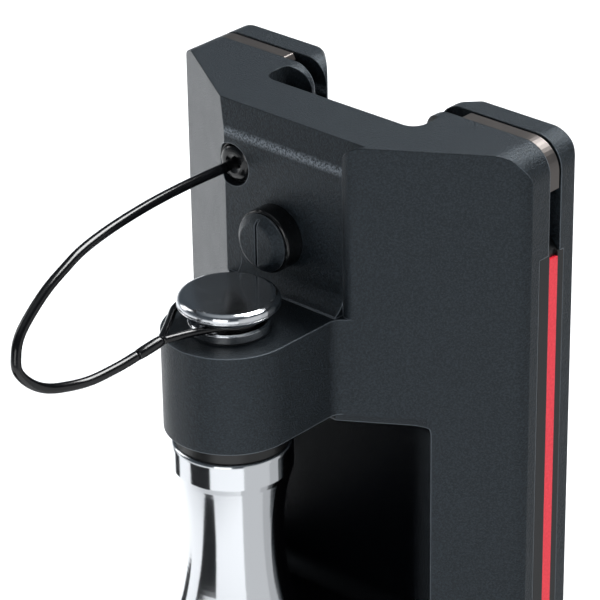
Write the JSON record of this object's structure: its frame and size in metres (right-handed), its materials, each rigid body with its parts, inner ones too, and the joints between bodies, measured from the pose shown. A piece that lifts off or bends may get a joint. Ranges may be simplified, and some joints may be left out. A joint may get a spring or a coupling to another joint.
{
  "type": "mast-track ball car",
  "caption": "Long black car for a mast track with ball slots round its rear edges, two lugs holding a polished hourglass spool on a captive lanyard pin, and a slotted stop screw.",
  "frame": {"origin": "middle of the rail channel's floor, the face that looks at the rail's crown", "axes": "+Y points out of the channel towards the mast, +Z runs along the track towards the pin's head, +X across the car towards its right side seen from the front"},
  "size_m": [0.08, 0.0893, 0.147],
  "materials": {
    "black_anodised": "bead-blasted black anodised",
    "ball_steel": "polished",
    "strip_steel": "brushed",
    "strip_plastic": "satin",
    "red_inlay": "satin",
    "bush_plastic": "satin",
    "polished_steel": "mirror polished",
    "liner_plastic": "machined",
    "spring_steel": "drawn wire",
    "black_gloss": "gloss",
    "screw_black": "blackened with bright worn rim"
  },
  "bodies": {
    "car": {"car_body": "black_anodised", "left_balls": "ball_steel", "right_balls": "ball_steel", "upper_left_turn_strip": "strip_steel", "upper_right_turn_strip": "strip_steel", "lower_left_turn_strip": "strip_steel", "lower_right_turn_strip": "strip_steel", "left_side_strip": "strip_plastic", "right_side_strip": "strip_plastic", "left_inlay": "red_inlay", "right_inlay": "red_inlay", "upper_bush": "bush_plastic", "lower_bush": "bush_plastic", "anchor_bush": "black_gloss", "lanyard_stop": "spring_steel", "lanyard_wire": "black_gloss", "stop_screw": "screw_black", "stop_collar": "bush_plastic", "stop_tip": "liner_plastic"},
    "spool": {"spool": "polished_steel", "spool_liner": "liner_plastic"},
    "pin": {"clevis_pin": "polished_steel", "lanyard_sleeve": "black_gloss", "lanyard_eye": "black_gloss"}
  },
  "joints": [
    {"name": "pin_slide", "type": "slide", "parent": "car", "child": "pin", "axis": [0, 0, 1], "range_m": [0, 0.088]},
    {"name": "spool_spin", "type": "hinge", "parent": "car", "child": "spool", "pos_m": [0, -0.0286, 0], "axis": [0, 0, 1], "continuous": true}
  ]
}
